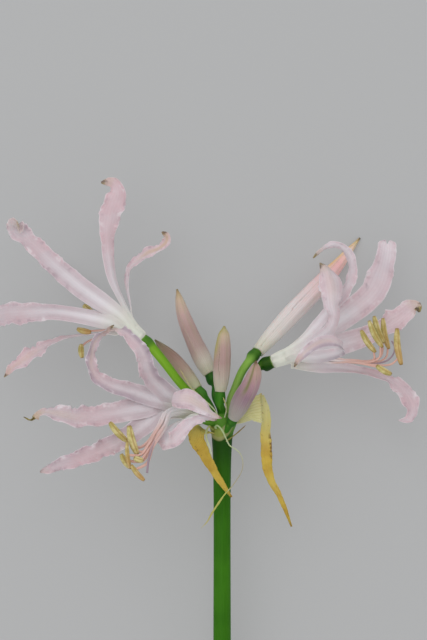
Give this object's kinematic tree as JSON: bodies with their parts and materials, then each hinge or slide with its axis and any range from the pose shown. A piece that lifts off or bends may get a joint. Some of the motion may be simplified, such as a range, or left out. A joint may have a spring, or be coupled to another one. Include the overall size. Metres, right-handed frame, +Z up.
{
  "type": "cut nerine flower stem",
  "caption": "Cut nerine stem lying on its side: a slim leafless scape that carries an umbel of frilled, rolled-back blooms, a bloom about to open, closed buds and withered spathe valves.",
  "frame": {"origin": "bottom centre of the bounding box, on the surface that the cut stem lies on", "axes": "+Y along the scape from its cut end to the umbel, +Z up from the surface, +X to the right for someone who looks down with the umbel away from them"},
  "size_m": [0.1808, 0.3922, 0.0806],
  "materials": {
    "scape_skin": "smooth dark green plant skin, satin",
    "pedicel_skin": "smooth green plant skin, satin",
    "tepal_flesh": "soft pale pink petal, matt with a fine sheen",
    "stamen": "salmon pink filaments with khaki anthers, satin",
    "bud_flesh": "mauve pink closed petals, satin",
    "opening_bud_flesh": "pale pink folded petals, satin",
    "golden_spathe": "withered golden bract, dry and matt",
    "pale_spathe": "thin pale straw bract, dry and matt",
    "bracteole_thread": "thin pale thread, dry and matt"
  },
  "bodies": {
    "root": {"scape": "scape_skin", "pedicel_upper_left": "pedicel_skin", "pedicel_lower_left": "pedicel_skin", "pedicel_right": "pedicel_skin", "pedicel_opening": "pedicel_skin", "pedicel_tall": "pedicel_skin", "pedicel_middle": "pedicel_skin", "pedicel_leaning": "pedicel_skin", "pedicel_front": "pedicel_skin", "tepals_upper_left": "tepal_flesh", "tepals_lower_left": "tepal_flesh", "tepals_right": "tepal_flesh", "stamens_upper_left": "stamen", "stamens_lower_left": "stamen", "stamens_right": "stamen", "bud_tall": "bud_flesh", "bud_middle": "bud_flesh", "bud_leaning": "bud_flesh", "bud_front": "bud_flesh", "bud_opening": "opening_bud_flesh", "spathe_left": "golden_spathe", "spathe_right": "pale_spathe", "bracteole_long": "bracteole_thread", "bracteole_short": "bracteole_thread", "bracteole_brown": "bracteole_thread", "bracteole_curled": "bracteole_thread", "bracteole_upright": "bracteole_thread"}
  },
  "joints": []
}
